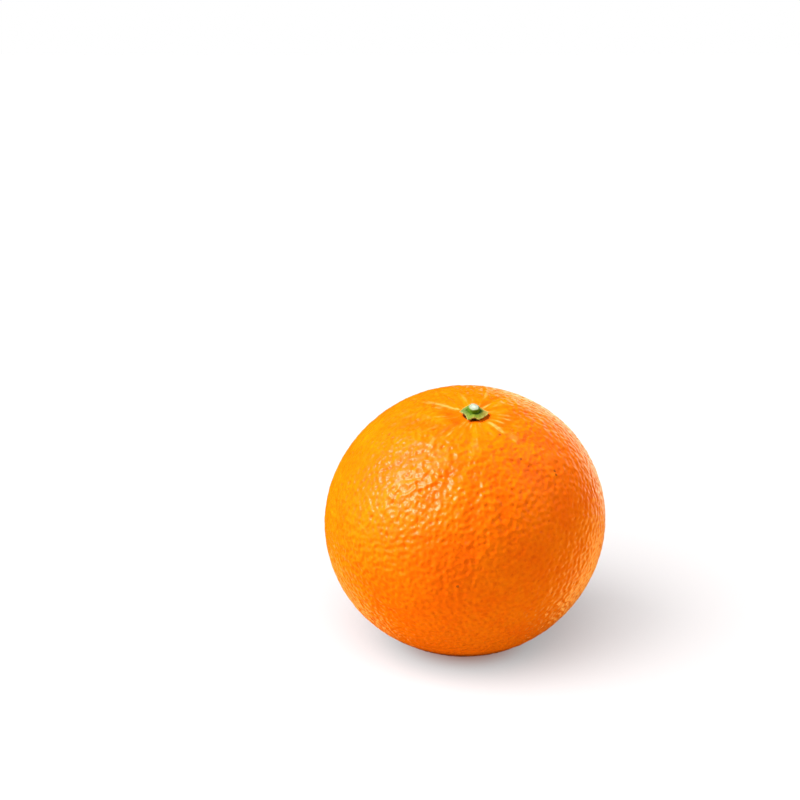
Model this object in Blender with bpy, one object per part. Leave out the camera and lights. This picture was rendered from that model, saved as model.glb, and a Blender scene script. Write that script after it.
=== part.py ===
# A whole orange: the fruit with its rind, the green calyx and the cut stub of the stem.
# Metres, +Z up. The fruit rests on a small flat spot round the origin, and its stem end
# leans forward, toward -Y, and a little toward +X.

import math

import bmesh
import bpy
from mathutils import Matrix, Vector

# Body of the fruit: a slightly flattened ball whose short axis leans a little toward -X
EQUATOR_RADIUS = 0.0380
POLE_RADIUS = 0.0363
SHORT_AXIS_LEAN = math.radians(10.7)
SHORT_AXIS_HEADING = math.radians(201)
FOOT_RADIUS = 0.0070

# Broad unevenness of the rind, a sum of slow waves. Each wave: its height, its direction
# times the radians that it turns over one radius of the fruit, and its phase
WAVES = (
    (0.00012, (2.3, 1.1, -0.8), 0.4),
    (0.00011, (-1.3, 2.9, 1.7), 2.1),
    (0.00010, (1.0, -1.6, 3.4), 4.0),
    (0.00006, (5.1, -3.6, 2.2), 1.2),
    (0.00005, (-2.7, 4.8, 5.3), 5.1),
)

# Stem end: a flattened shoulder, a shallow dip and the creases that run out of it
STEM_LEAN = math.radians(19)
STEM_HEADING = math.radians(-83)
SHOULDER_DEPTH = 0.0008
SHOULDER_REACH = 0.0150
DIP_DEPTH = 0.0011
DIP_REACH = 0.0062
CREASE_DEPTH = 0.00046
CREASE_START = 0.0026
CREASE_FULL = 0.0062
CREASE_WIDTH = 0.00065
CREASE_SPREAD = 0.06
# Each crease: heading round the stem in degrees, share of the full depth, and length
CREASES = (
    (15, 0.6, 0.017),
    (50, 1.0, 0.021),
    (83, 0.5, 0.014),
    (122, 1.0, 0.018),
    (149, 0.9, 0.022),
    (186, 0.6, 0.026),
    (227, 1.0, 0.017),
    (262, 0.8, 0.024),
    (290, 0.7, 0.020),
    (336, 0.7, 0.023),
)

# Blossom end, opposite the stem: a small round scar in a slight hollow
SCAR_RADIUS = 0.0014
SCAR_DEPTH = 0.00032

# Every piece stays this far from its neighbour
GAP = 0.0003

# Calyx: a star of five lobes. Each lobe: heading of its tip round the stem in degrees,
# reach of the tip, and how deep the edge is scooped between this tip and the next
LOBES = (
    (6, 0.00415, 0.0015),
    (92, 0.00390, 0.0010),
    (188, 0.00365, 0.0005),
    (246, 0.00430, 0.0014),
    (291, 0.00385, 0.0012),
)
SCOOP_ROUNDNESS = 0.8
HUB_RADIUS = 0.0023
HUB_TOP = 0.0015
SOCKET_RADIUS = 0.0020
SOCKET_DEPTH = 0.0005
# Section through a lobe, over the top and back below: share of the way out from the hub
# to the edge, and height over the rind
LOBE_SECTION = (
    (0.35, 0.00128),
    (0.70, 0.00120),
    (0.96, 0.00124),
    (1.00, 0.00104),
    (0.95, 0.00080),
    (0.50, 0.00052),
)

# Stub of the stem, cut off above the calyx
STUB_RADIUS = 0.00172
STUB_HEIGHT = 0.00155
STUB_OUT_OF_ROUND = 0.025
# Outline of the stub from its foot up: share of the height, and share of the radius
STUB_OUTLINE = (
    (0.00, 0.88),
    (0.12, 0.93),
    (0.24, 1.00),
    (0.52, 1.00),
    (0.72, 0.95),
    (0.86, 0.83),
    (0.95, 0.62),
    (0.99, 0.32),
)

# Fineness of the meshes
FRUIT_AROUND = 84
FRUIT_BANDS = 52
END_CROWDING = 0.62
CALYX_AROUND = 60
STUB_AROUND = 32
SHARP_FROM = math.radians(50)


def leaning_vector(lean, heading):
    """Unit vector that leans from +Z by one angle, toward a heading in the XY plane."""
    return Vector((
        math.sin(lean) * math.cos(heading),
        math.sin(lean) * math.sin(heading),
        math.cos(lean),
    ))


SHORT_AXIS = leaning_vector(SHORT_AXIS_LEAN, SHORT_AXIS_HEADING)
STEM_AXIS = leaning_vector(STEM_LEAN, STEM_HEADING)


def stem_frame():
    """Rotation that carries +Z to the stem's axis and keeps +X as near to +X as it can."""
    side = (Vector((1, 0, 0)) - STEM_AXIS * STEM_AXIS.x).normalized()
    return Matrix((side, STEM_AXIS.cross(side), STEM_AXIS)).transposed()


FROM_STEM = stem_frame()
TO_STEM = FROM_STEM.transposed()


def smooth_step(low, high, value):
    share = min(1.0, max(0.0, (value - low) / (high - low)))
    return share * share * (3 - 2 * share)


def hollow(depth, reach, distance):
    return depth * math.exp(-((distance / reach) ** 2))


def crease_depth(local):
    """Depth of the creases along a unit direction in the stem's frame. Each crease runs
    out along its heading, widens as it goes and fades out."""
    if local.z < 0:
        return 0.0
    deepest = 0.0
    for degrees, share, length in CREASES:
        heading = Vector((math.cos(math.radians(degrees)), math.sin(math.radians(degrees))))
        along = EQUATOR_RADIUS * heading.dot(local.xy)
        across = EQUATOR_RADIUS * heading.cross(local.xy)
        rise = smooth_step(CREASE_START, CREASE_FULL, along)
        fade = 1 - smooth_step(length / 3, length, along)
        width = CREASE_WIDTH + CREASE_SPREAD * max(0.0, along)
        deepest = max(deepest, hollow(share * rise * fade, width, across))
    return CREASE_DEPTH * deepest


def unevenness(direction):
    swell = 0.0
    for height, run, start in WAVES:
        swell += height * math.sin(direction.dot(Vector(run)) + start)
    return swell


def centre_height():
    """Height of the body's centre over the flat spot, so that the spot has its radius."""
    up = SHORT_AXIS.z
    depth = math.hypot(POLE_RADIUS * up, EQUATOR_RADIUS * math.sqrt(1 - up * up))
    depth += unevenness(Vector((0, 0, -1)))
    return depth * math.sqrt(1 - (FOOT_RADIUS / EQUATOR_RADIUS) ** 2)


CENTRE = Vector((0, 0, centre_height()))


def body_radius(direction):
    """Distance from the centre to the plain flattened ball, along a unit direction."""
    along = direction.dot(SHORT_AXIS) ** 2
    return 1 / math.sqrt((1 - along) / EQUATOR_RADIUS ** 2 + along / POLE_RADIUS ** 2)


def rind_radius(direction):
    """Distance from the centre to the rind, along a unit direction."""
    from_stem = EQUATOR_RADIUS * (direction - STEM_AXIS).length
    from_scar = EQUATOR_RADIUS * (direction + STEM_AXIS).length
    radius = body_radius(direction) + unevenness(direction)
    radius -= hollow(SHOULDER_DEPTH, SHOULDER_REACH, from_stem)
    radius -= hollow(DIP_DEPTH, DIP_REACH, from_stem)
    radius -= crease_depth(TO_STEM @ direction)
    radius -= hollow(SCAR_DEPTH, SCAR_RADIUS, from_scar)
    return radius


def local_direction(polar, heading):
    return FROM_STEM @ leaning_vector(polar, heading)


def over_rind(reach, heading, lift):
    """Point near the stem: reach is its distance from the stem's axis, and lift is its
    height over the rind, along that axis."""
    radius = POLE_RADIUS
    for _ in range(4):
        direction = local_direction(math.asin(reach / radius), heading)
        radius = rind_radius(direction)
    return CENTRE + direction * radius + STEM_AXIS * lift


def make_material(name, colour, roughness):
    material = bpy.data.materials.new(name)
    material.use_nodes = True
    shader = material.node_tree.nodes["Principled BSDF"]
    shader.inputs["Base Color"].default_value = (*colour, 1)
    shader.inputs["Roughness"].default_value = roughness
    shader.inputs["Metallic"].default_value = 0
    return material


def shade_round(shape):
    for face in shape.faces:
        face.smooth = True
    for edge in shape.edges:
        edge.smooth = edge.calc_face_angle(0) < SHARP_FROM


def make_object(name, shape, material):
    mesh = bpy.data.meshes.new(name)
    shape.to_mesh(mesh)
    shape.free()
    mesh.materials.append(material)
    made = bpy.data.objects.new(name, mesh)
    bpy.context.scene.collection.objects.link(made)
    return made


def cut_foot(shape):
    """Cut the shape off at z = 0 and close it with one flat patch of triangles."""
    cut = bmesh.ops.bisect_plane(
        shape,
        geom=shape.verts[:] + shape.edges[:] + shape.faces[:],
        dist=GAP / 2,
        plane_co=(0, 0, 0),
        plane_no=(0, 0, -1),
        clear_outer=True,
    )
    rim = [part for part in cut["geom_cut"] if isinstance(part, bmesh.types.BMEdge)]
    for edge in rim:
        for vertex in edge.verts:
            vertex.co.z = 0
    filled = bmesh.ops.contextual_create(shape, geom=rim)
    foot = bmesh.ops.triangulate(shape, faces=filled["faces"], ngon_method="BEAUTY")
    return foot["faces"]


def fruit_shape():
    """The body: a globe with its poles on the stem's axis and closer bands at both ends,
    each vertex set out to the rind, then cut flat where it rests."""
    shape = bmesh.new()
    bmesh.ops.create_uvsphere(
        shape, u_segments=FRUIT_AROUND, v_segments=FRUIT_BANDS, radius=1
    )
    for vertex in shape.verts:
        polar = math.acos(max(-1.0, min(1.0, vertex.co.z)))
        polar -= END_CROWDING / 2 * math.sin(2 * polar)
        heading = math.atan2(vertex.co.y, vertex.co.x)
        direction = local_direction(polar, heading)
        vertex.co = CENTRE + direction * rind_radius(direction)
    foot = cut_foot(shape)
    bmesh.ops.recalc_face_normals(shape, faces=shape.faces)
    shade_round(shape)
    for face in foot:
        face.smooth = False
    return shape


def ringed_shape(rings, first, last):
    """A closed shape from rings of points and the two points that close its ends."""
    shape = bmesh.new()
    ends = [shape.verts.new(first), shape.verts.new(last)]
    rows = [[shape.verts.new(point) for point in ring] for ring in rings]
    around = len(rows[0])
    for above, below in zip(rows, rows[1:]):
        for i in range(around):
            j = (i + 1) % around
            shape.faces.new((above[i], above[j], below[j], below[i]))
    for end, row in zip(ends, (rows[0], rows[-1])):
        for i in range(around):
            shape.faces.new((end, row[i], row[(i + 1) % around]))
    bmesh.ops.recalc_face_normals(shape, faces=shape.faces)
    shade_round(shape)
    return shape


def lobe_reach(heading):
    """How far the calyx reaches at a heading, in radians."""
    degrees = math.degrees(heading) % 360
    for i, (tip, reach, scoop) in enumerate(LOBES):
        next_tip, next_reach, _ = LOBES[(i + 1) % len(LOBES)]
        span = (next_tip - tip) % 360
        share = ((degrees - tip) % 360) / span
        if share < 1:
            break
    along = reach + (next_reach - reach) * share
    return along - scoop * math.sin(math.pi * share) ** SCOOP_ROUNDNESS


def calyx_shape():
    """The star: a thick hub with a socket for the stub, thinning out to its lobes."""
    headings = [2 * math.pi * i / CALYX_AROUND for i in range(CALYX_AROUND)]
    floor = HUB_TOP - SOCKET_DEPTH

    def round_ring(reach, height):
        return [over_rind(reach, heading, height) for heading in headings]

    def lobed_ring(share, height):
        outs = [HUB_RADIUS + share * (lobe_reach(h) - HUB_RADIUS) for h in headings]
        return [over_rind(out, h, height) for out, h in zip(outs, headings)]

    rings = [
        round_ring(SOCKET_RADIUS / 2, floor),
        round_ring(SOCKET_RADIUS - GAP / 4, floor),
        round_ring(SOCKET_RADIUS, HUB_TOP),
        round_ring(HUB_RADIUS, HUB_TOP),
    ]
    rings += [lobed_ring(share, height) for share, height in LOBE_SECTION]
    rings += [round_ring(HUB_RADIUS, GAP), round_ring(HUB_RADIUS / 2, GAP)]
    return ringed_shape(rings, over_rind(0, 0, floor), over_rind(0, 0, GAP))


def stub_shape():
    """The stub: a short stalk, a little out of round, with a domed end."""
    foot = over_rind(0, 0, HUB_TOP - SOCKET_DEPTH + GAP)
    height = STUB_HEIGHT + SOCKET_DEPTH - GAP

    def ring(rise, share):
        points = []
        for i in range(STUB_AROUND):
            heading = 2 * math.pi * i / STUB_AROUND
            uneven = 1 + STUB_OUT_OF_ROUND * math.cos(2 * heading + 0.6)
            out = STUB_RADIUS * share * uneven
            local = (out * math.cos(heading), out * math.sin(heading), height * rise)
            points.append(foot + FROM_STEM @ Vector(local))
        return points

    rings = [ring(rise, share) for rise, share in STUB_OUTLINE]
    return ringed_shape(rings, foot, foot + STEM_AXIS * height)


def main():
    for old in list(bpy.data.objects):
        bpy.data.objects.remove(old)
    rind = make_material("rind", (0.94, 0.27, 0.006), 0.42)
    green = make_material("calyx_green", (0.36, 0.50, 0.10), 0.5)
    cut_stem = make_material("cut_stem", (0.12, 0.20, 0.04), 0.5)
    make_object("fruit", fruit_shape(), rind)
    make_object("calyx", calyx_shape(), green)
    make_object("stem_stub", stub_shape(), cut_stem)


main()
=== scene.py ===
import math

import bmesh
import bpy
from mathutils import Matrix, Vector, noise
from mathutils.bvhtree import BVHTree


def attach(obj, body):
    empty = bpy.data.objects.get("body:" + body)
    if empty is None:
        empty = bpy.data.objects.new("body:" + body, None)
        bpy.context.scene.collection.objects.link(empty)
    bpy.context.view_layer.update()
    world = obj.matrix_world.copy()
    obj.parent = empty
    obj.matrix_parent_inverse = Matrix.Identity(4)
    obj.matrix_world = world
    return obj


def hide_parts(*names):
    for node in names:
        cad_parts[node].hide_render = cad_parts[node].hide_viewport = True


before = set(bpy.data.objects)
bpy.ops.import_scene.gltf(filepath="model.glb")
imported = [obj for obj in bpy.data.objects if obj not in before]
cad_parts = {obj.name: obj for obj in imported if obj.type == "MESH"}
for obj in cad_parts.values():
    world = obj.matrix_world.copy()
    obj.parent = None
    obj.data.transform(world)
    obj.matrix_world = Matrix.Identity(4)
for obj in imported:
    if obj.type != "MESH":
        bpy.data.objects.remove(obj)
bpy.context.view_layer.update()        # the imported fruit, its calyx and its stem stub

mm = 0.001

# the fruit's own form: a flattened ball, slow waves, and the hollows at its two ends
form = {
    "equatorRadius": 38.0 * mm,
    "poleRadius": 36.3 * mm,
    "shortAxis": (10.7, 201),        # lean from upright and heading, degrees
    "stemAxis": (19, -83),
    "footRadius": 7.0 * mm,          # flat spot it rests on
    "waves": [                       # height, run over one radius, phase
        (0.12 * mm, (2.3, 1.1, -0.8), 0.4),
        (0.11 * mm, (-1.3, 2.9, 1.7), 2.1),
        (0.10 * mm, (1.0, -1.6, 3.4), 4.0),
        (0.06 * mm, (5.1, -3.6, 2.2), 1.2),
        (0.05 * mm, (-2.7, 4.8, 5.3), 5.1),
    ],
    "hollows": [                     # depth, reach, and which end of the stem's axis
        (0.80 * mm, 15.0 * mm, 1),
        (1.10 * mm, 6.2 * mm, 1),
        (0.32 * mm, 1.4 * mm, -1),
    ],
    "creases": [                     # heading round the stem, share of the depth, length
        (15, 0.6, 17 * mm),
        (50, 1.0, 21 * mm),
        (83, 0.5, 14 * mm),
        (122, 1.0, 18 * mm),
        (149, 0.9, 22 * mm),
        (186, 0.6, 26 * mm),
        (227, 1.0, 17 * mm),
        (262, 0.8, 24 * mm),
        (290, 0.7, 20 * mm),
        (336, 0.7, 23 * mm),
    ],
    "creaseDepth": 0.46 * mm,
    "creaseStart": 2.6 * mm,         # from the stem, where they begin
    "creaseFull": 6.2 * mm,          # and where they are deepest
    "creaseWidth": 0.65 * mm,
    "creaseSpread": 0.06,            # how much wider they get along their length
    "streakRun": 50 * mm,            # the fine lines change slowly along their length
}


class Wire:
    # a socket of a node tree: sums on it add Math nodes, node() adds any other node
    def __init__(self, tree, socket=None):
        self.tree = tree
        self.socket = socket

    def node(self, kind, settings=None, sockets=None, out=0):
        made = self.tree.nodes.new(kind)
        for name, value in (settings or {}).items():
            setattr(made, name, value)
        for name, value in (sockets or {}).items():
            if isinstance(value, Wire):
                self.tree.links.new(value.socket, made.inputs[name])
            else:
                made.inputs[name].default_value = value
        return Wire(self.tree, made.outputs[out]) if made.outputs else None

    def also(self, out):             # another socket of the same node
        return Wire(self.tree, self.socket.node.outputs[out])

    def calc(self, operation, *values):
        return self.node("ShaderNodeMath", {"operation": operation}, dict(enumerate(values)))

    def __add__(self, other):
        return self.calc("ADD", self, other)

    def __sub__(self, other):
        return self.calc("SUBTRACT", self, other)

    def __rsub__(self, other):
        return self.calc("SUBTRACT", other, self)

    def __mul__(self, other):
        return self.calc("MULTIPLY", self, other)

    def __truediv__(self, other):
        return self.calc("DIVIDE", self, other)

    def __rtruediv__(self, other):
        return self.calc("DIVIDE", other, self)

    def __pow__(self, other):
        return self.calc("POWER", self, other)

    __radd__ = __add__
    __rmul__ = __mul__

    def above(self, level):          # the greater of the two
        return self.calc("MAXIMUM", self, level)

    def vector(self, operation, *values, out=0):
        settings = {"operation": operation}
        return self.node("ShaderNodeVectorMath", settings, dict(enumerate(values)), out)

    def plus(self, other):
        return self.vector("ADD", self, other)

    def dot(self, other):
        return self.vector("DOT_PRODUCT", self, other, out=1)

    def farFrom(self, point):
        return self.vector("DISTANCE", self, point, out=1)

    def scaled(self, factor):
        return self.node("ShaderNodeVectorMath", {"operation": "SCALE"}, {0: self, 3: factor})

    def smooth(self, low, high):     # 0 below low, 1 above high
        settings = {"interpolation_type": "SMOOTHSTEP"}
        return self.node("ShaderNodeMapRange", settings, {0: self, 1: low, 2: high})

    def bell(self, reach):           # 1 at zero, fading out over the reach
        share = self / reach
        return self.calc("EXPONENT", share * share * -1)

    def noise(self, size, detail=2.0, roughness=0.5):
        values = {"Vector": self, "Scale": 1 / size, "Detail": detail, "Roughness": roughness}
        return self.node("ShaderNodeTexNoise", None, values)

    def tint(self, first, second):   # self is the share of the second colour
        sockets = {0: self, 6: first, 7: second}
        return self.node("ShaderNodeMix", {"data_type": "RGBA"}, sockets, 2)


def leaning(lean, heading):
    lean, heading = math.radians(lean), math.radians(heading)
    flat = math.sin(lean)
    return Vector((flat * math.cos(heading), flat * math.sin(heading), math.cos(lean)))


shortAxis = leaning(*form["shortAxis"])
stemAxis = leaning(*form["stemAxis"])
stemSide = (Vector((1, 0, 0)) - stemAxis * stemAxis.x).normalized()
stemBack = stemAxis.cross(stemSide)
fromStemFrame = Matrix((stemSide, stemBack, stemAxis)).transposed()


def centreHeight():
    # the middle's height over the floor, with the flat spot cut off
    up = shortAxis.z
    radius = form["equatorRadius"]
    depth = math.hypot(form["poleRadius"] * up, radius * math.sqrt(1 - up * up))
    for height, run, phase in form["waves"]:
        depth += height * math.sin(phase - run[2])
    return depth * math.sqrt(1 - (form["footRadius"] / radius) ** 2)


centre = Vector((0, 0, centreHeight()))


# camera and light

view = {
    "pitch": 16,                # degrees below level
    "lens": 55.8,
    "frameSide": 800,           # pixels
    "fruitAcross": 463.8,       # where the middle of the fruit stands in the frame
    "fruitDown": 518.5,
    "fruitDepth": 338 * mm,     # along the camera's own axis
}


def makeCamera():
    pitch = math.radians(view["pitch"])
    forward = Vector((0, math.cos(pitch), -math.sin(pitch)))
    up = Vector((0, math.sin(pitch), math.cos(pitch)))
    data = bpy.data.cameras.new("camera")
    data.lens = view["lens"]
    data.clip_start = 10 * mm
    focal = view["lens"] / data.sensor_width * view["frameSide"]
    right = (view["fruitAcross"] - view["frameSide"] / 2) / focal
    down = (view["fruitDown"] - view["frameSide"] / 2) / focal
    toFruit = forward + Vector((1, 0, 0)) * right - up * down
    camera = bpy.data.objects.new("camera", data)
    camera.location = centre - toFruit * view["fruitDepth"]
    camera.rotation_euler = (math.pi / 2 - pitch, 0, 0)
    bpy.context.scene.collection.objects.link(camera)
    bpy.context.scene.camera = camera


studio = {
    "lamps": [                  # each a wide soft source, as far off as the sky
        {"name": "key", "from": (-0.64, 0.05, 0.765), "strength": 2.55, "across": 40,
         "lights": "fruit", "gloss": False},
        {"name": "fill", "from": (0.80, 0.06, 0.58), "strength": 0.54, "across": 60,
         "lights": "fruit", "gloss": False, "colour": (0.92, 1, 0.85)},
        {"name": "left", "from": (-0.93, -0.30, 0.00), "strength": 0.56, "across": 60,
         "lights": "fruit", "gloss": False},
        {"name": "shine", "from": (-0.663, -0.327, 0.698), "strength": 3.8, "across": 26,
         "lights": "fruit", "diffuse": False, "colour": (1, 0.97, 0.84)},
        {"name": "rim", "from": (0.46, 0.88, 0.05), "strength": 0.42, "across": 42,
         "lights": "fruit", "diffuse": False, "colour": (1, 0.98, 0.62)},
        {"name": "rimLow", "from": (0.68, 0.53, -0.50), "strength": 0.28, "across": 34,
         "lights": "fruit", "diffuse": False, "colour": (1, 0.88, 0.22)},
        {"name": "rimLeft", "from": (-0.42, 0.66, -0.62), "strength": 0.12, "across": 26,
         "lights": "fruit", "diffuse": False, "colour": (1, 0.88, 0.25)},
        {"name": "tableLow", "from": (-0.75, -0.25, 0.60), "strength": 1.4, "across": 60,
         "lights": "floor"},
        {"name": "tableTop", "from": (-0.25, -0.60, 0.76), "strength": 3.5, "across": 72,
         "lights": "floor"},
    ],
    "skyLight": 0.22,           # what the fruit is lit by from all round
    "skySeen": 1.0,             # what the camera sees behind the floor
    "floorColour": (0.21, 0.20, 0.20, 1),   # its own lamps are strong: it takes little orange
    "floorToFruit": (0.20, 0.20, 0.04, 1),  # what it throws back has little blue
    "floorGlow": 0.34,          # lifts its shadow, as an overexposed white table does
    "glowToFruit": (1, 1, 0.2, 1),
    "glowContactShadow": (0.70, 0.15, 0.05, 1),     # painted contact shadow: a weaker glow close by the foot, where the fruit hides it
    "glowStart": 6 * mm,
    "glowFull": 20 * mm,
    "floorRoughness": 0.9,
    "floorSpecular": 0.1,
    "floorSide": 40.0,
    "floorDrop": 0.02 * mm,
}

lit = {name: bpy.data.collections.new(name) for name in ("fruit", "floor")}


def makeLamp(lamp):
    sun = bpy.data.lights.new(lamp["name"], "SUN")
    sun.energy = lamp["strength"] * math.pi
    sun.angle = math.radians(lamp["across"])
    sun.color = lamp.get("colour", (1, 1, 1))
    light = bpy.data.objects.new(lamp["name"], sun)
    toward = Vector(lamp["from"]).normalized()
    light.location = centre + toward
    light.rotation_euler = toward.to_track_quat("Z", "Y").to_euler()
    light.visible_camera = False
    light.visible_glossy = lamp.get("gloss", True)
    light.visible_diffuse = lamp.get("diffuse", True)
    light.light_linking.receiver_collection = lit[lamp["lights"]]
    light.light_linking.blocker_collection = lit["fruit"]    # the low ones pass the floor
    bpy.context.scene.collection.objects.link(light)


def makeLights():
    for lamp in studio["lamps"]:
        makeLamp(lamp)
    bpy.context.scene.view_settings.view_transform = "Standard"


def makeSky():
    world = bpy.data.worlds.new("studio")
    bpy.context.scene.world = world
    world.use_nodes = True
    world.node_tree.nodes.clear()
    world.cycles_visibility.glossy = False       # the gloss shows the lamps alone
    start = Wire(world.node_tree)
    seen = start.node("ShaderNodeLightPath", out="Is Camera Ray")
    strength = seen * (studio["skySeen"] - studio["skyLight"]) + studio["skyLight"]
    sky = start.node("ShaderNodeBackground", None, {
        "Color": (1, 1, 1, 1), "Strength": strength})
    start.node("ShaderNodeOutputWorld", None, {"Surface": sky})


def makeMaterial(name, paint):
    material = bpy.data.materials.new(name)
    material.use_nodes = True
    material.node_tree.nodes.clear()
    start = Wire(material.node_tree)
    here = start.node("ShaderNodeTexCoord", out="Object")
    shader = start.node("ShaderNodeBsdfPrincipled", None, paint(here))
    start.node("ShaderNodeOutputMaterial", None, {"Surface": shader})
    return material


def paintFloor(here):
    seen = here.node("ShaderNodeLightPath", out="Is Camera Ray")
    colour = seen.tint(studio["floorToFruit"], studio["floorColour"])
    # painted contact shadow: less glow close by the foot
    out = here.farFrom((0, 0, 0)).smooth(studio["glowStart"], studio["glowFull"])
    glow = seen.tint(studio["glowToFruit"], out.tint(studio["glowContactShadow"], (1, 1, 1, 1)))
    return {"Base Color": colour, "Roughness": studio["floorRoughness"],
            "Specular IOR Level": studio["floorSpecular"],
            "Emission Color": glow, "Emission Strength": studio["floorGlow"]}


def makeFloor():
    shape = bmesh.new()
    bmesh.ops.create_grid(shape, x_segments=1, y_segments=1, size=studio["floorSide"] / 2)
    bmesh.ops.translate(shape, vec=(0, 0, -studio["floorDrop"]), verts=shape.verts)
    floor = keepPiece("floor", shape, makeMaterial("floor", paintFloor))
    floor.visible_glossy = False
    lit["floor"].objects.link(floor)


def keepPiece(name, shape, material):
    mesh = bpy.data.meshes.new(name)
    shape.to_mesh(mesh)
    shape.free()
    mesh.materials.append(material)
    piece = bpy.data.objects.new(name, mesh)
    bpy.context.scene.collection.objects.link(piece)
    return piece


# rind

rind = {
    "Squares": 128,             # along each side of the ball's six patches
    "Equator radius": form["equatorRadius"],
    "Pole radius": form["poleRadius"],
    "Pore spacing": 1.45 * mm,
    "Pore reach": 0.64 * mm,
    "Pore depth": 0.22 * mm,
    "Pebble size": 1.7 * mm,
    "Pebble height": 0.16 * mm,
    "Crease extra": 0.30 * mm,  # depth in the middle of the creases
    "Wrinkle height": 0.22 * mm,
    "Wrinkle reach": 13 * mm,   # from the stem
    "Wrinkle start": 2 * mm,
    "Wrinkle full": 6 * mm,
    "Calm radius": 4 * mm,      # the rind is smooth round the stem up to here
    "Rough radius": 18 * mm,    # and as rough as anywhere from here on
    "Seed": 11,
}

rindLook = {
    "deep": (0.95, 0.132, 0.0002, 1),
    "bright": (0.97, 0.176, 0.0005, 1),
    "patchSize": 13 * mm,
    "freckleSize": 2.2 * mm,
    # darker in the pits: painted shade, and in part the glands' own deeper tone
    "pore": (0.78, 0.080, 0.0010, 1),
    "poreShadeShare": 0.55,
    "spot": (0.62, 0.070, 0.003, 1),
    "streakHighlight": (1.00, 0.41, 0.11, 1),        # pale lines that run out from the stem: painted highlights on its ridges
    "streakShare": 0.75,
    "streakReach": 14 * mm,
    "streakStart": 2 * mm,
    "streakFull": 5 * mm,
    "streakBreaks": 3 * mm,
    # painted shade: darker in the creases and in the valleys next to the pale lines
    "crease": (0.82, 0.085, 0.0005, 1),
    "creaseShadeShare": 0.6,
    # painted shade: the rind darker towards the bottom
    "low": (0.66, 0.098, 0.0002, 1),
    "lowShadeTop": 30 * mm,          # height above which the rind has no such painted shade
    "lowShadeShare": 0.8,
    "foot": (0.06, 0.012, 0.006, 1),        # painted shade close over the ground, where the rind is hidden from most of the light
    "footShadeFull": 4 * mm,         # height below which the rind has this painted shade in full
    "footShadeTop": 9 * mm,
    # painted shade on the rind beneath the calyx's edge
    "shadeUnderCalyx": (0.10, 0.028, 0.004, 1),
    "shadeUnderInner": 2.7 * mm,     # from the stem
    "shadeUnderOuter": 3.3 * mm,
    "speck": (0.40, 0.075, 0.008, 1),
    "specks": [                 # across and up from the middle, as seen from the front, size
        (14.6 * mm, 15.1 * mm, 0.60 * mm),
        (9.5 * mm, 21.9 * mm, 0.45 * mm),
        (-1.6 * mm, -16.7 * mm, 0.45 * mm),
        (23.0 * mm, 11.9 * mm, 0.55 * mm),
        (23.2 * mm, 11.0 * mm, 0.50 * mm),
    ],
    "roughness": 0.28,
    "specular": 0.085,
    "grainSize": 0.30 * mm,
    "grainHeight": 0.012 * mm,
    "fineSize": 1.28 * mm,      # the smallest ridges between the pores
    "fineHeight": 0.264 * mm,
    "cellSize": 1.5 * mm,       # round dimples, which join the ridges up
    "cellHeight": 0.33 * mm,
    "cellSmoothness": 0.5,
    "cellRandomness": 0.9,
    "calmRadius": 4 * mm,       # both are low round the stem up to here
    "roughRadius": 14 * mm,
}


def stemPlaces(direction, radius):
    # how far from the stem a direction from the centre comes out, and its lean each way
    fromStem = direction.farFrom(stemAxis) * radius
    side = direction.dot(stemSide)
    back = direction.dot(stemBack)
    return fromStem, side, back


def streaks(side, back, along, size=0.16):
    # fine lines that run out from the stem, with no division by zero on its axis
    out = (side * side + back * back).above(1e-8) ** 0.5
    turning = side.node("ShaderNodeCombineXYZ", None, {0: side / out, 1: back / out, 2: along})
    return turning.noise(size, 2.0, 0.5)


def creaseDepth(side, back, direction, radius):
    # from 0 off the creases to 1 in the deepest, only on the stem's half of the fruit
    deepest = None
    for degrees, share, length in form["creases"]:
        cosine, sine = math.cos(math.radians(degrees)), math.sin(math.radians(degrees))
        along = (side * cosine + back * sine) * radius
        across = (back * cosine - side * sine) * radius
        rise = along.smooth(form["creaseStart"], form["creaseFull"])
        fade = 1 - along.smooth(length / 3, length)
        width = along.above(0) * form["creaseSpread"] + form["creaseWidth"]
        hollow = rise * fade * across.bell(width) * share
        deepest = hollow if deepest is None else deepest.above(hollow)
    return deepest * direction.dot(stemAxis).smooth(0, 0.01)


def smoothRadius(direction, given):
    radius = given["Equator radius"]
    pole = given["Pole radius"]
    along = direction.dot(shortAxis) ** 2
    ball = 1 / ((1 - along) / (radius * radius) + along / (pole * pole)) ** 0.5
    for height, run, phase in form["waves"]:
        turn = direction.dot(run) + phase
        ball = ball + turn.calc("SINE", turn) * height
    for depth, reach, end in form["hollows"]:
        ball = ball - (direction.farFrom(stemAxis * end) * radius).bell(reach) * depth
    fromStem, side, back = stemPlaces(direction, radius)
    crease = creaseDepth(side, back, direction, radius)
    return ball - crease * form["creaseDepth"], crease


def newTree(name, sizes):
    # an empty tree with an input for each of the sizes
    tree = bpy.data.node_groups.new(name, "GeometryNodeTree")
    tree.is_modifier = True
    tree.interface.new_socket("Geometry", in_out="OUTPUT", socket_type="NodeSocketGeometry")
    for label, value in sizes.items():
        kind = "NodeSocketInt" if isinstance(value, int) else "NodeSocketFloat"
        tree.interface.new_socket(label, in_out="INPUT", socket_type=kind)
    given = Wire(tree).node("NodeGroupInput")
    return tree, {label: given.also(label) for label in sizes}


def finishTree(geometry, material):
    kept = geometry.node("GeometryNodeSetShadeSmooth", None, {"Geometry": geometry})
    kept = kept.node("GeometryNodeRealizeInstances", None, {"Geometry": kept})
    kept = kept.node("GeometryNodeSetMaterial", None, {"Geometry": kept, "Material": material})
    kept.node("NodeGroupOutput", None, {"Geometry": kept})


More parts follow.
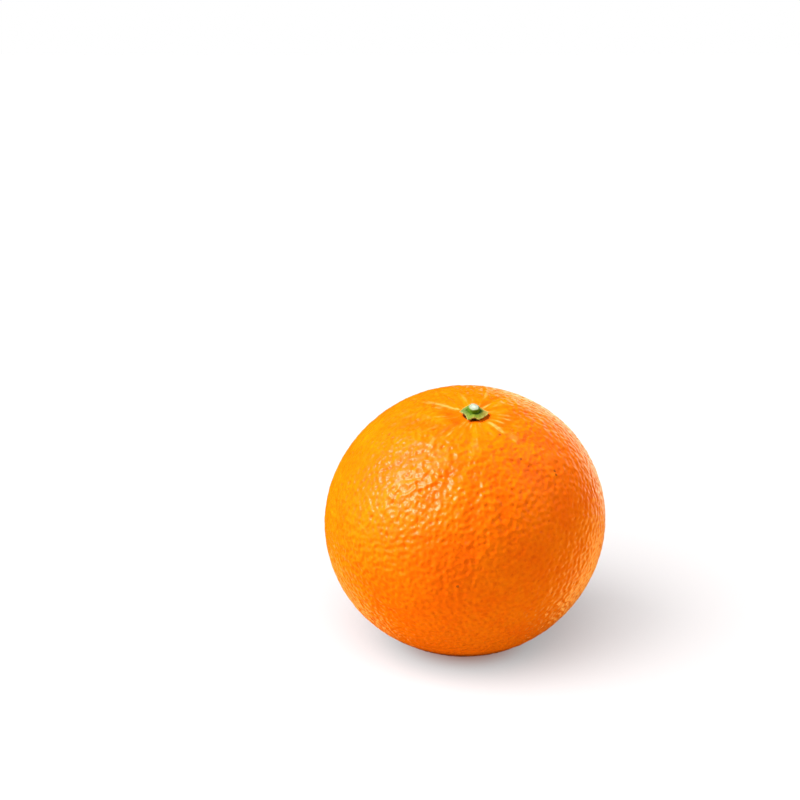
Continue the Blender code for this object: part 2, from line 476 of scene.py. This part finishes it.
def growTree(name, tree, sizes):
    # runs the tree on an empty object and keeps its result as a plain mesh
    piece = bpy.data.objects.new(name, bpy.data.meshes.new(name))
    bpy.context.scene.collection.objects.link(piece)
    modifier = piece.modifiers.new(name, "NODES")
    modifier.node_group = tree
    for socket in tree.interface.items_tree:
        if socket.in_out == "INPUT":
            modifier[socket.identifier] = sizes[socket.name]
    graph = bpy.context.evaluated_depsgraph_get()
    grown = bpy.data.meshes.new_from_object(
        piece.evaluated_get(graph), preserve_all_data_layers=True, depsgraph=graph)
    piece.modifiers.clear()
    piece.data = grown
    return piece


def storeValue(geometry, name, value):
    return geometry.node("GeometryNodeStoreNamedAttribute", {"data_type": "FLOAT"}, {
        "Geometry": geometry, "Name": name, "Value": value})


def buildRindTree(material):
    tree, given = newTree("rind", rind)
    start = Wire(tree)
    corners = given["Squares"] + 1
    cube = start.node("GeometryNodeMeshCube", None, {
        "Size": (2, 2, 2),
        "Vertices X": corners, "Vertices Y": corners, "Vertices Z": corners})
    flat = start.node("GeometryNodeInputPosition").scaled(math.pi / 4)
    bent = flat.vector("TANGENT", flat)          # evens out the squares over the ball
    direction = bent.vector("NORMALIZE", bent)
    radius, crease = smoothRadius(direction, given)
    place = direction.scaled(radius).plus(centre)
    ball = start.node("GeometryNodeSetPosition", None, {"Geometry": cube, "Position": place})
    ball = storeValue(ball, "crease", crease)

    poisson = {"distribute_method": "POISSON"}   # thinned down to the spacing
    pores = start.node("GeometryNodeDistributePointsOnFaces", poisson, {
        "Mesh": ball, "Distance Min": given["Pore spacing"], "Density Max": 4e6,
        "Seed": given["Seed"]})
    spot = start.node("GeometryNodeInputPosition")
    nearest = start.node("GeometryNodeProximity", {"target_element": "POINTS"}, {
        0: pores, 2: spot})
    dice = start.node("ShaderNodeTexWhiteNoise", None, {"Vector": nearest})
    outward = spot.plus(-centre)
    outward = outward.vector("NORMALIZE", outward)
    fromStem, side, back = stemPlaces(outward, given["Equator radius"])
    rough = fromStem.smooth(given["Calm radius"], given["Rough radius"]) * 0.8 + 0.2
    away = nearest.also("Distance")
    pore = away.bell(given["Pore reach"]) * (dice * 0.75 + 0.25)
    dark = away.bell(given["Pore reach"] * 0.5) * dice.smooth(0.96, 1.0)     # a few pores
    pebbles = (spot.noise(given["Pebble size"], 1.0) - 0.5) * 2
    lines = (streaks(side, back, fromStem / form["streakRun"]) - 0.5) * 2
    wrinkles = lines * fromStem.bell(given["Wrinkle reach"])
    wrinkles = wrinkles * fromStem.smooth(given["Wrinkle start"], given["Wrinkle full"])
    lift = pebbles * given["Pebble height"] - pore * given["Pore depth"]
    lift = lift * rough + wrinkles * given["Wrinkle height"]
    folds = start.node("GeometryNodeInputNamedAttribute", {"data_type": "FLOAT"}, {
        "Name": "crease"})
    lift = lift - folds * given["Crease extra"]
    moved = spot.plus(outward.scaled(lift))
    moved = moved.vector("MAXIMUM", moved, (-1, -1, 0))      # flat where it rests
    skin = storeValue(ball, "pore", pore * rough)
    skin = storeValue(skin, "spot", dark * rough)
    skin = start.node("GeometryNodeSetPosition", None, {"Geometry": skin, "Position": moved})
    finishTree(skin, material)
    return tree


def frontPoint(across, up):
    # direction from the centre of a place on the front, as the camera sees it
    camera = bpy.context.scene.camera
    toward = (camera.location - centre).normalized()
    right = Vector((1, 0, 0)) - toward * toward.x
    right.normalize()
    radius = form["equatorRadius"]
    rest = math.sqrt(radius ** 2 - across ** 2 - up ** 2)
    return (right * across + toward.cross(right) * up + toward * rest) / radius


def raised(height, distance):
    # the normal of a relief whose height is in units of the distance
    return height.node("ShaderNodeBump", None, {
        "Strength": 1.0, "Distance": distance, "Height": height})


def paintRind(here):
    look = rindLook
    outward = here.plus(-centre)
    outward = outward.vector("NORMALIZE", outward)
    radius = form["equatorRadius"]
    fromStem, side, back = stemPlaces(outward, radius)
    pore = here.node("ShaderNodeAttribute", {"attribute_name": "pore"}, out="Fac")
    spot = here.node("ShaderNodeAttribute", {"attribute_name": "spot"}, out="Fac")
    patches = here.noise(look["patchSize"], 3.0, 0.6)
    freckles = here.noise(look["freckleSize"], 3.0, 0.6)
    mottle = (patches * 0.6 + freckles * 0.4).smooth(0.36, 0.64)
    colour = mottle.tint(look["deep"], look["bright"])
    # painted shade: darker towards the bottom
    height = here.dot((0, 0, 1))
    low = (1 - height.smooth(0, look["lowShadeTop"])) * look["lowShadeShare"]
    colour = low.tint(colour, look["low"])
    # painted shade close over the ground
    foot = 1 - height.smooth(look["footShadeFull"], look["footShadeTop"])
    colour = foot.tint(colour, look["foot"])
    # painted shade in the creases
    crease = here.node("ShaderNodeAttribute", {"attribute_name": "crease"}, out="Fac")
    colour = (crease * look["creaseShadeShare"]).tint(colour, look["crease"])
    # painted highlights: pale lines on the ridges round the stem
    near = fromStem.bell(look["streakReach"])
    near = near * fromStem.smooth(look["streakStart"], look["streakFull"])
    lines = streaks(side, back, fromStem / form["streakRun"])
    broken = here.noise(look["streakBreaks"], 1.0).smooth(0.40, 0.60) * 0.85 + 0.15
    highlightLines = lines.smooth(0.55, 0.68) * near * broken
    colour = (highlightLines * look["streakShare"]).tint(colour, look["streakHighlight"])
    # painted shade in the valleys next to the pale lines
    valleyShade = (1 - lines.smooth(0.36, 0.48)) * near * 0.5
    colour = valleyShade.tint(colour, look["crease"])
    # painted shade on the rind beneath the calyx
    paintedShadeUnder = 1 - fromStem.smooth(look["shadeUnderInner"], look["shadeUnderOuter"])
    colour = paintedShadeUnder.tint(colour, look["shadeUnderCalyx"])
    # darker in the pits: painted shade, and in part the glands' own deeper tone
    colour = (pore * look["poreShadeShare"]).tint(colour, look["pore"])
    colour = spot.tint(colour, look["spot"])
    for across, up, size in look["specks"]:
        away = outward.farFrom(frontPoint(across, up)) * radius
        away = away + (freckles - 0.5) * size    # uneven outline
        colour = (1 - away.smooth(size * 0.5, size)).tint(colour, look["speck"])
    cells = here.node("ShaderNodeTexVoronoi", {"feature": "SMOOTH_F1"}, {
        "Vector": here, "Scale": 1 / look["cellSize"],
        "Smoothness": look["cellSmoothness"],
        "Randomness": look["cellRandomness"]}, "Distance")
    ridges = here.noise(look["fineSize"], 0.0) * look["fineHeight"]
    ridges = ridges + cells * look["cellHeight"]
    rough = fromStem.smooth(look["calmRadius"], look["roughRadius"]) * 0.8 + 0.2
    grain = here.noise(look["grainSize"], 3.0, 0.6)
    normal = raised(ridges * rough + grain * look["grainHeight"], 1.0)
    roughness = look["roughness"] + pore * 0.10 + (freckles - 0.5) * 0.10
    return {"Base Color": colour, "Roughness": roughness, "Normal": normal,
            "Specular IOR Level": look["specular"]}


def makeRind():
    material = makeMaterial("rind", paintRind)
    fruit = growTree("pebbledRind", buildRindTree(material), rind)
    lit["fruit"].objects.link(fruit)
    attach(fruit, "root")
    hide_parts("fruit")
    print("rind:", len(fruit.data.polygons), "faces")
    return fruit


# calyx and stem stub

calyx = {
    "around": 220,
    "lobes": [                  # heading of the tip, its reach, scoop to the next, tip's lift
        (2, 4.15 * mm, 1.3 * mm, -0.08 * mm),
        (92, 3.90 * mm, 1.0 * mm, 0.00 * mm),
        (184, 3.75 * mm, 1.15 * mm, 0.26 * mm),
        (244, 3.95 * mm, 0.85 * mm, -0.20 * mm),
        (293, 3.55 * mm, 0.40 * mm, -0.16 * mm),
    ],
    "scoopRoundness": 0.7,
    "hubRadius": 2.3 * mm,
    "hubFlat": 0.8,             # share of its radius that is level
    "hubFall": 0.7,             # share over which it comes down to the lobes
    "hubTop": 1.50 * mm,        # over the rind
    "lobeTop": 1.02 * mm,
    "edgeThickness": 0.30 * mm,
    "rootThickness": 2.2 * mm,  # thins out evenly from here to the edge
    "ragged": 0.16 * mm,        # unevenness of the edge
    "ruffle": 0.16 * mm,
    "bumps": 0.05 * mm,
    "ribHeight": 0.13 * mm,
    "ribWidth": 0.45 * mm,
    "edgeStart": 0.97,          # share of the reach where the edge turns over
    "edgeRound": 0.03,
    "underRun": 0.45,           # share of the reach that has an underside
    "footShare": 0.9,           # of the hub's radius, where it enters the rind
    "sunk": 0.1 * mm,
    "topRings": 20,
    "edgeRings": 4,
    "underRings": 10,
}

calyxLook = {
    "front": (0.17, 0.215, 0.016, 1),
    "left": (0.11, 0.17, 0.036, 1),
    "right": (0.35, 0.26, 0.050, 1),
    # painted shade: dark green round the stub's foot
    "hub": (0.05, 0.10, 0.010, 1),
    "edge": (0.40, 0.33, 0.09, 1),
    # painted shade: the calyx's dark underside
    "paintedShadeUnder": (0.10, 0.075, 0.020, 1),
    "vein": (0.32, 0.38, 0.10, 1),
    "grainSize": 0.5 * mm,
    "patchSize": 1.6 * mm,
    "patchShift": 2 * mm,       # how far the tones' borders wander
    "reliefHeight": 0.05 * mm,
    "roughness": 0.45,
    "specular": 0.08,
}

stub = {
    "around": 96,
    "radius": 1.72 * mm,
    "top": 2.64 * mm,           # over the rind, along the stem
    "foot": 0.9 * mm,
    "taper": 0.14,              # narrower by this share at the cut
    "chamfer": 0.20 * mm,
    "peak": 0.10 * mm,          # of the middle of the cut
    "corner": 0.24,             # how far the cut's outline stands out at one place
    "cornerHeading": 100,
    "cornerSharpness": 18,
    "slope": 0.03,              # of the cut
    "slopeHeading": 250,
    "flare": 1.06,              # width at the foot, as a share of the radius
    "waist": 0.10,
    "wave": 0.10,               # slow and quick unevenness round the side
    "ripple": 0.03,
    "bumps": 0.05 * mm,
    "sideRings": 14,
    "chamferRings": 4,
    "topRings": 12,
}

stubLook = {
    "side": (0.055, 0.13, 0.003, 1),
    "sidePale": (0.12, 0.23, 0.010, 1),
    "rim": (0.13, 0.17, 0.050, 1),
    "cut": (0.31, 0.35, 0.26, 1),
    "pith": (0.52, 0.55, 0.48, 1),
    "grainSize": 0.35 * mm,
    "reliefHeight": 0.06 * mm,
    "roughness": 0.5,
    "specular": 0.08,
}


def makeProbe(fruit):
    # finds points over the finished rind near the stem
    rindShape = BVHTree.FromPolygons(
        [vertex.co for vertex in fruit.data.vertices],
        [face.vertices for face in fruit.data.polygons])

    def overRind(reach, heading, lift):
        radius = form["poleRadius"]
        for _ in range(3):
            tilt = math.degrees(math.asin(reach / radius))
            direction = fromStemFrame @ leaning(tilt, heading)
            hit = rindShape.ray_cast(centre, direction)[0]
            radius = (hit - centre).length
        return hit + stemAxis * lift
    return overRind


def lobeAt(heading):
    # reach and lift of the calyx's edge at a heading, and how far off the nearest rib is
    lobes = calyx["lobes"]
    for i, (tip, reach, scoop, lift) in enumerate(lobes):
        nextTip, nextReach, _, nextLift = lobes[(i + 1) % len(lobes)]
        span = (nextTip - tip) % 360
        share = ((heading - tip) % 360) / span
        if share < 1:
            break
    edge = reach + (nextReach - reach) * share
    edge -= scoop * math.sin(math.pi * share) ** calyx["scoopRoundness"]
    tipShare = abs(2 * share - 1)
    aside = min(share, 1 - share) * span
    raised = lift if share < 0.5 else nextLift
    return edge, raised * tipShare, math.radians(aside)


def waver(x, y, z, size):
    # smooth noise from -1 to 1
    return noise.noise(Vector((x, y, z)) / size)


def calyxPoint(overRind, heading, share, side):
    # share runs from 0 at the hub to 1 at the edge, side from 1 on top to -1 below
    turn = math.radians(heading)
    unit = Vector((math.cos(turn), math.sin(turn)))
    edge, lift, aside = lobeAt(heading)
    edge += calyx["ragged"] * waver(unit.x, unit.y, 0.3, 0.16)
    out = share * edge
    hub = calyx["hubRadius"]
    down = min(1, max(0, (out - hub * calyx["hubFlat"]) / (hub * calyx["hubFall"])))
    down = down * down * (3 - 2 * down)
    top = calyx["hubTop"] + (calyx["lobeTop"] - calyx["hubTop"]) * down
    top += lift * share ** 2
    top += calyx["ruffle"] * waver(unit.x * share, unit.y * share, 2.1, 0.45) * share
    top += calyx["bumps"] * waver(unit.x * 3, unit.y * 3, share, 0.35)
    rib = math.exp(-(aside * out / calyx["ribWidth"]) ** 2) if aside < 1 else 0
    top += calyx["ribHeight"] * rib * down * (1 - share ** 4)
    thick = calyx["rootThickness"] + (calyx["edgeThickness"] - calyx["rootThickness"]) * share
    middle = top - thick / 2
    return overRind(out, heading, middle + side * thick / 2)


def closeRings(shape, rings, first, last, values, layer):
    # joins each ring to the next, and closes the ends with a fan round a point
    rows = []
    for ring, value in zip(rings, values):
        row = [shape.verts.new(point) for point in ring]
        for vertex in row:
            vertex[layer] = value
        rows.append(row)
    around = len(rows[0])
    for above, below in zip(rows, rows[1:]):
        for i in range(around):
            j = (i + 1) % around
            shape.faces.new((above[i], above[j], below[j], below[i]))
    for point, row, value in ((first, rows[0], values[0]), (last, rows[-1], values[-1])):
        end = shape.verts.new(point)
        end[layer] = value
        for i in range(around):
            shape.faces.new((end, row[i], row[(i + 1) % around]))
    bmesh.ops.recalc_face_normals(shape, faces=shape.faces)
    for face in shape.faces:
        face.smooth = True


def makeCalyx(overRind):
    headings = [360 * i / calyx["around"] for i in range(calyx["around"])]
    shape = bmesh.new()
    layer = shape.verts.layers.float.new("share")     # 0 at the hub, 1 at the edge, 2 below
    rings, values = [], []

    def addRing(share, side, value):
        rings.append([calyxPoint(overRind, heading, share, side) for heading in headings])
        values.append(value)

    edgeStart = calyx["edgeStart"]
    for i in range(1, calyx["topRings"] + 1):
        share = edgeStart * (i / calyx["topRings"]) ** 0.8      # closer together outwards
        addRing(share, 1, share)
    for i in range(1, calyx["edgeRings"]):
        turn = math.pi * i / calyx["edgeRings"]
        addRing(edgeStart + calyx["edgeRound"] * math.sin(turn), math.cos(turn), 1)
    for i in range(calyx["underRings"]):
        addRing(edgeStart - calyx["underRun"] * i / calyx["underRings"], -1, 2)
    footRadius = calyx["hubRadius"] * calyx["footShare"]
    rings.append([overRind(footRadius, heading, -calyx["sunk"]) for heading in headings])
    values.append(2)
    top = overRind(0, 0, calyx["hubTop"])
    foot = overRind(0, 0, -calyx["sunk"])
    closeRings(shape, rings, top, foot, values, layer)
    star = keepPiece("calyxStar", shape, makeMaterial("calyx", paintCalyx))
    lit["fruit"].objects.link(star)
    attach(star, "root")
    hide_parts("calyx")
    print("calyx:", len(star.data.polygons), "faces")


def paintCalyx(here):
    look = calyxLook
    share = here.node("ShaderNodeAttribute", {"attribute_name": "share"}, out="Fac")
    out = here.plus(-(centre + stemAxis * form["poleRadius"]))
    side, back = out.dot(stemSide), out.dot(stemBack)
    grain = here.noise(look["grainSize"], 3.0, 0.6)
    patches = here.noise(look["patchSize"], 2.0, 0.5)
    shift = (patches - 0.5) * look["patchShift"]
    colour = (side + shift).smooth(0.6 * mm, 3.2 * mm).tint(look["front"], look["right"])
    colour = (side * -1 + shift).smooth(0.8 * mm, 2.6 * mm).tint(colour, look["left"])
    # painted shade: darker towards the hub, round the stub
    colour = (1 - share.smooth(0.50, 0.74)).tint(colour, look["hub"])
    lines = streaks(side, back, share * 0.2)
    colour = (lines.smooth(0.5, 0.8) * share.smooth(0.3, 0.8) * 0.5).tint(colour, look["vein"])
    rimmed = share.smooth(0.86, 0.99) * (1 - share.smooth(1.2, 1.6)) * grain.smooth(0.35, 0.6)
    colour = (rimmed * 0.8).tint(colour, look["edge"])
    # painted shade on the underside
    colour = share.smooth(1.3, 1.9).tint(colour, look["paintedShadeUnder"])
    normal = raised(grain * 0.6 + lines * 0.4, look["reliefHeight"])
    roughness = look["roughness"] + grain * 0.2
    return {"Base Color": colour, "Roughness": roughness, "Normal": normal,
            "Specular IOR Level": look["specular"]}


def stubPoint(height, heading, rise, share):
    # rise runs from 0 at the foot to 1 at the cut, share from 1 at the rim to 0 in the middle
    turn = math.radians(heading)
    unit = Vector((math.cos(turn), math.sin(turn)))
    wavy = waver(unit.x, unit.y, 5.0, 0.5) * stub["wave"]
    wavy += waver(unit.x, unit.y, 1.0, 0.12) * stub["ripple"]
    ease = rise ** 3             # the corner and the slope show at the cut alone
    out = stub["radius"] * share * (1 + wavy) * (1 - stub["taper"] * min(1, rise))
    off = math.cos(turn - math.radians(stub["cornerHeading"]))
    out *= 1 + stub["corner"] * ease * math.exp(-stub["cornerSharpness"] * (1 - off))
    fall = math.cos(turn - math.radians(stub["slopeHeading"])) * out * stub["slope"]
    tall = height * rise - fall * ease
    tall += stub["bumps"] * waver(unit.x * share, unit.y * share, 8.0, 0.3) * ease
    return fromStemFrame @ Vector((out * unit.x, out * unit.y, tall))


def makeStub(overRind):
    headings = [360 * i / stub["around"] for i in range(stub["around"])]
    base = overRind(0, 0, stub["foot"])
    height = stub["top"] - stub["foot"]
    shape = bmesh.new()
    layer = shape.verts.layers.float.new("cut")       # 0 to 1 up the side, 2 in the middle
    rings, values = [], []

    def addRing(rise, share, value):
        rings.append([base + stubPoint(height, heading, rise, share) for heading in headings])
        values.append(value)

    tall = stub["chamfer"] / height
    wide = stub["chamfer"] / stub["radius"]
    for i in range(stub["sideRings"] + 1):
        rise = i / stub["sideRings"]
        flare = stub["flare"] - stub["waist"] * math.sin(math.pi * rise * 0.8)
        addRing(rise * (1 - tall), flare, rise * 0.9)
    for i in range(1, stub["chamferRings"] + 1):
        turn = math.pi / 2 * i / stub["chamferRings"]
        rise = 1 - tall * (1 - math.sin(turn))
        addRing(rise, 1 - wide * (1 - math.cos(turn)), 0.9 + 0.1 * i / stub["chamferRings"])
    for i in range(1, stub["topRings"]):
        share = (1 - wide) * (1 - i / stub["topRings"])
        rise = 1 + stub["peak"] / height * (1 - share ** 1.3)
        addRing(rise, share, 1 + i / stub["topRings"])
    tip = base + stemAxis * (height + stub["peak"])
    closeRings(shape, rings, base, tip, values, layer)
    cut = keepPiece("cutStem", shape, makeMaterial("cutStem", paintStub))
    lit["fruit"].objects.link(cut)
    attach(cut, "root")
    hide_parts("stem_stub")
    print("stem stub:", len(cut.data.polygons), "faces")


def paintStub(here):
    look = stubLook
    cut = here.node("ShaderNodeAttribute", {"attribute_name": "cut"}, out="Fac")
    out = here.plus(-(centre + stemAxis * form["poleRadius"]))
    side, back = out.dot(stemSide), out.dot(stemBack)
    lines = streaks(side, back, cut * 0.3)
    grain = here.noise(look["grainSize"], 3.0, 0.6)
    colour = lines.smooth(0.42, 0.70).tint(look["side"], look["sidePale"])
    colour = cut.smooth(0.90, 0.99).tint(colour, look["rim"])
    middle = (grain * 0.5 + cut.smooth(1.4, 2.0)).smooth(0.3, 1.2)
    colour = cut.smooth(0.985, 1.16).tint(colour, middle.tint(look["cut"], look["pith"]))
    normal = raised(lines * 0.5 + grain * 0.5, look["reliefHeight"])
    roughness = look["roughness"] + grain * 0.2
    return {"Base Color": colour, "Roughness": roughness, "Normal": normal,
            "Specular IOR Level": look["specular"]}


makeCamera()
makeLights()
makeSky()
makeFloor()
print("studio ready")
fruit = makeRind()
overRind = makeProbe(fruit)
makeCalyx(overRind)
makeStub(overRind)
